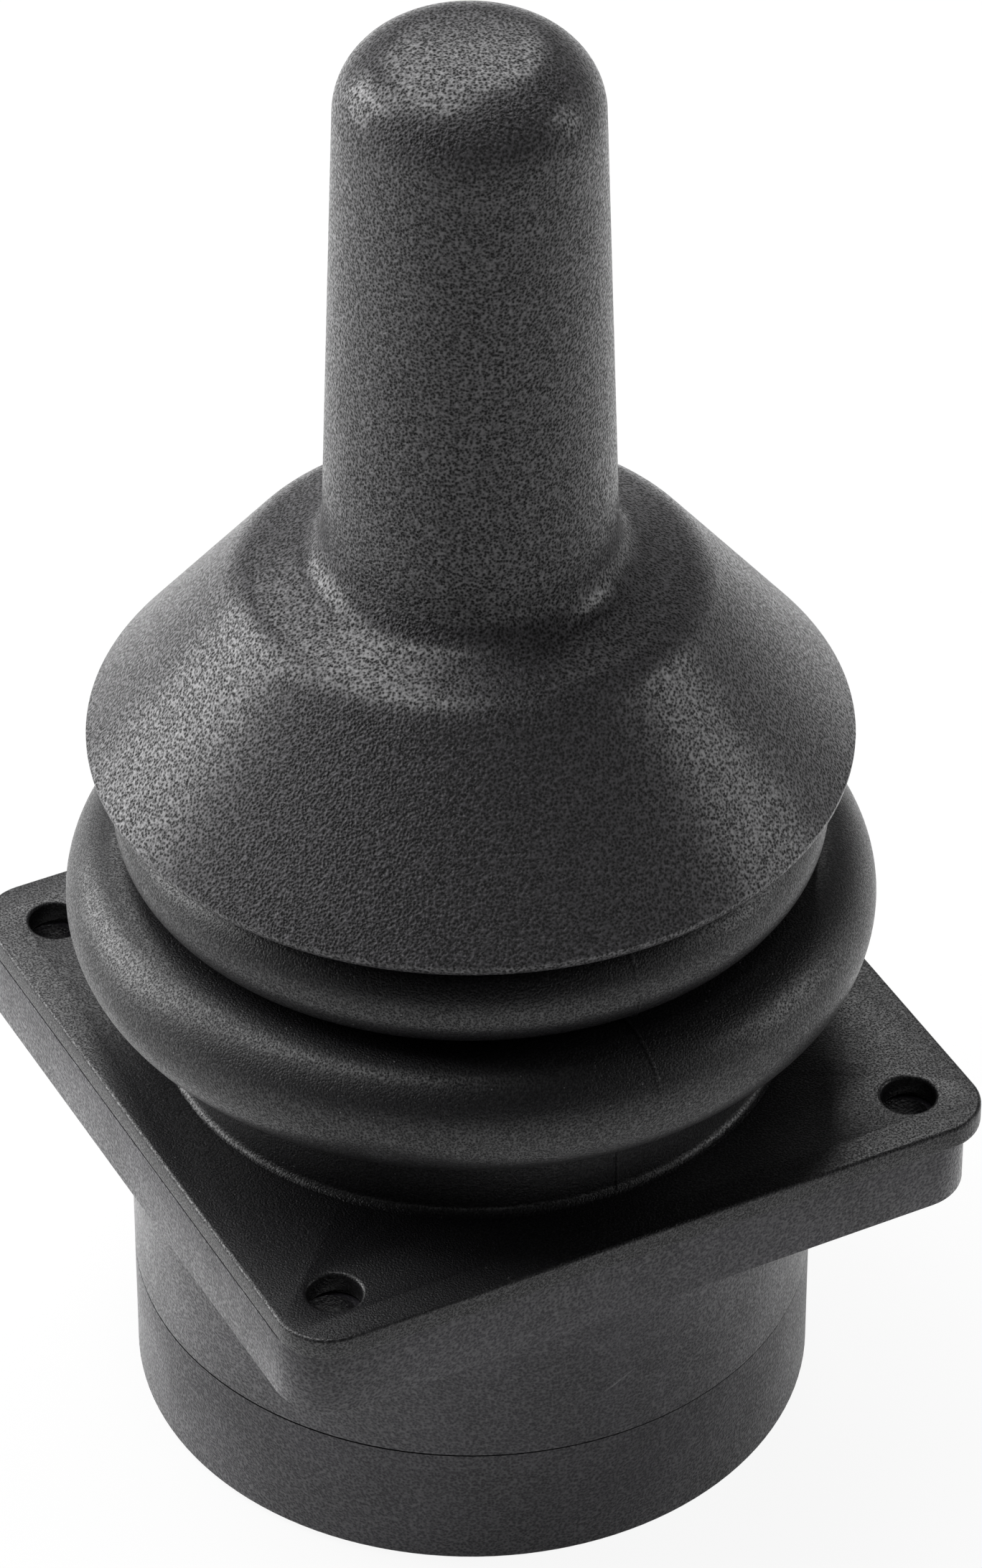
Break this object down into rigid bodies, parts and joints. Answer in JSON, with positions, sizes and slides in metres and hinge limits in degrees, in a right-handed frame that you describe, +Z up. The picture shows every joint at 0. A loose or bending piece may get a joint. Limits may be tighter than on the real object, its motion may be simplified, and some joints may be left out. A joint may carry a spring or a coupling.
{
  "type": "panel joystick",
  "caption": "Spring-centred panel joystick with a tapered grip on a flared skirt, rubber bellows, square bolted flange and round body.",
  "frame": {"origin": "centre of the flat base of the lower cover", "axes": "+Z up along the lever at rest; X and Y along the sides of the square flange; the gimbal pins lie along X and the lever pin along Y"},
  "size_m": [0.0632, 0.0632, 0.1249],
  "materials": {
    "housing_plastic": "fine matte moulding",
    "cover_plastic": "smooth matte moulding",
    "grip_plastic": "coarse spark-eroded grain",
    "boot_rubber": "matte rubber with fine dust",
    "seal_rubber": "matte",
    "inner_plastic": "matte",
    "bush_polymer": "satin",
    "plated_steel": "zinc plated",
    "screw_steel": "zinc plated",
    "spring_steel": "drawn wire",
    "ground_steel": "ground",
    "zinc_casting": "die cast",
    "board_laminate": "solder mask",
    "chip_package": "moulded",
    "socket_plastic": "natural nylon",
    "contact_metal": "plated",
    "magnet_metal": "nickel plated",
    "brass": "turned"
  },
  "bodies": {
    "housing": {"upper_housing": "housing_plastic", "lower_cover": "cover_plastic", "cover_gasket": "seal_rubber", "cover_screws": "screw_steel", "boot": "boot_rubber", "pivot_caps": "inner_plastic", "cap_screws": "screw_steel", "housing_bushes": "bush_polymer", "gate_plate": "plated_steel", "gate_screws": "screw_steel", "circuit_board": "board_laminate", "board_screws": "screw_steel", "hall_sensor": "chip_package", "board_components": "chip_package", "connector_socket": "socket_plastic", "connector_pins": "contact_metal", "return_spring": "spring_steel"},
    "gimbal": {"gimbal_ring": "zinc_casting", "gimbal_pins": "ground_steel", "ring_bushes": "bush_polymer"},
    "lever": {"lever_shaft": "ground_steel", "lever_hub": "zinc_casting", "lever_pin": "ground_steel", "pin_clips": "spring_steel", "magnet_holder": "inner_plastic", "magnet": "magnet_metal", "spring_cup": "plated_steel", "boot_seat": "inner_plastic", "lock_nut": "screw_steel", "grip_insert": "brass", "grip": "grip_plastic"}
  },
  "joints": [
    {"name": "gimbal_tilt", "type": "hinge", "parent": "housing", "child": "gimbal", "pos_m": [0, 0, 0.027], "axis": [1, 0, 0], "range_deg": [-18, 18], "stiffness_Nm_per_rad": 0.6, "deforming": ["boot", "return_spring"]},
    {"name": "lever_tilt", "type": "hinge", "parent": "gimbal", "child": "lever", "pos_m": [0, 0, 0.027], "axis": [0, 1, 0], "range_deg": [-18, 18], "stiffness_Nm_per_rad": 0.6, "deforming": ["boot", "return_spring"]}
  ]
}
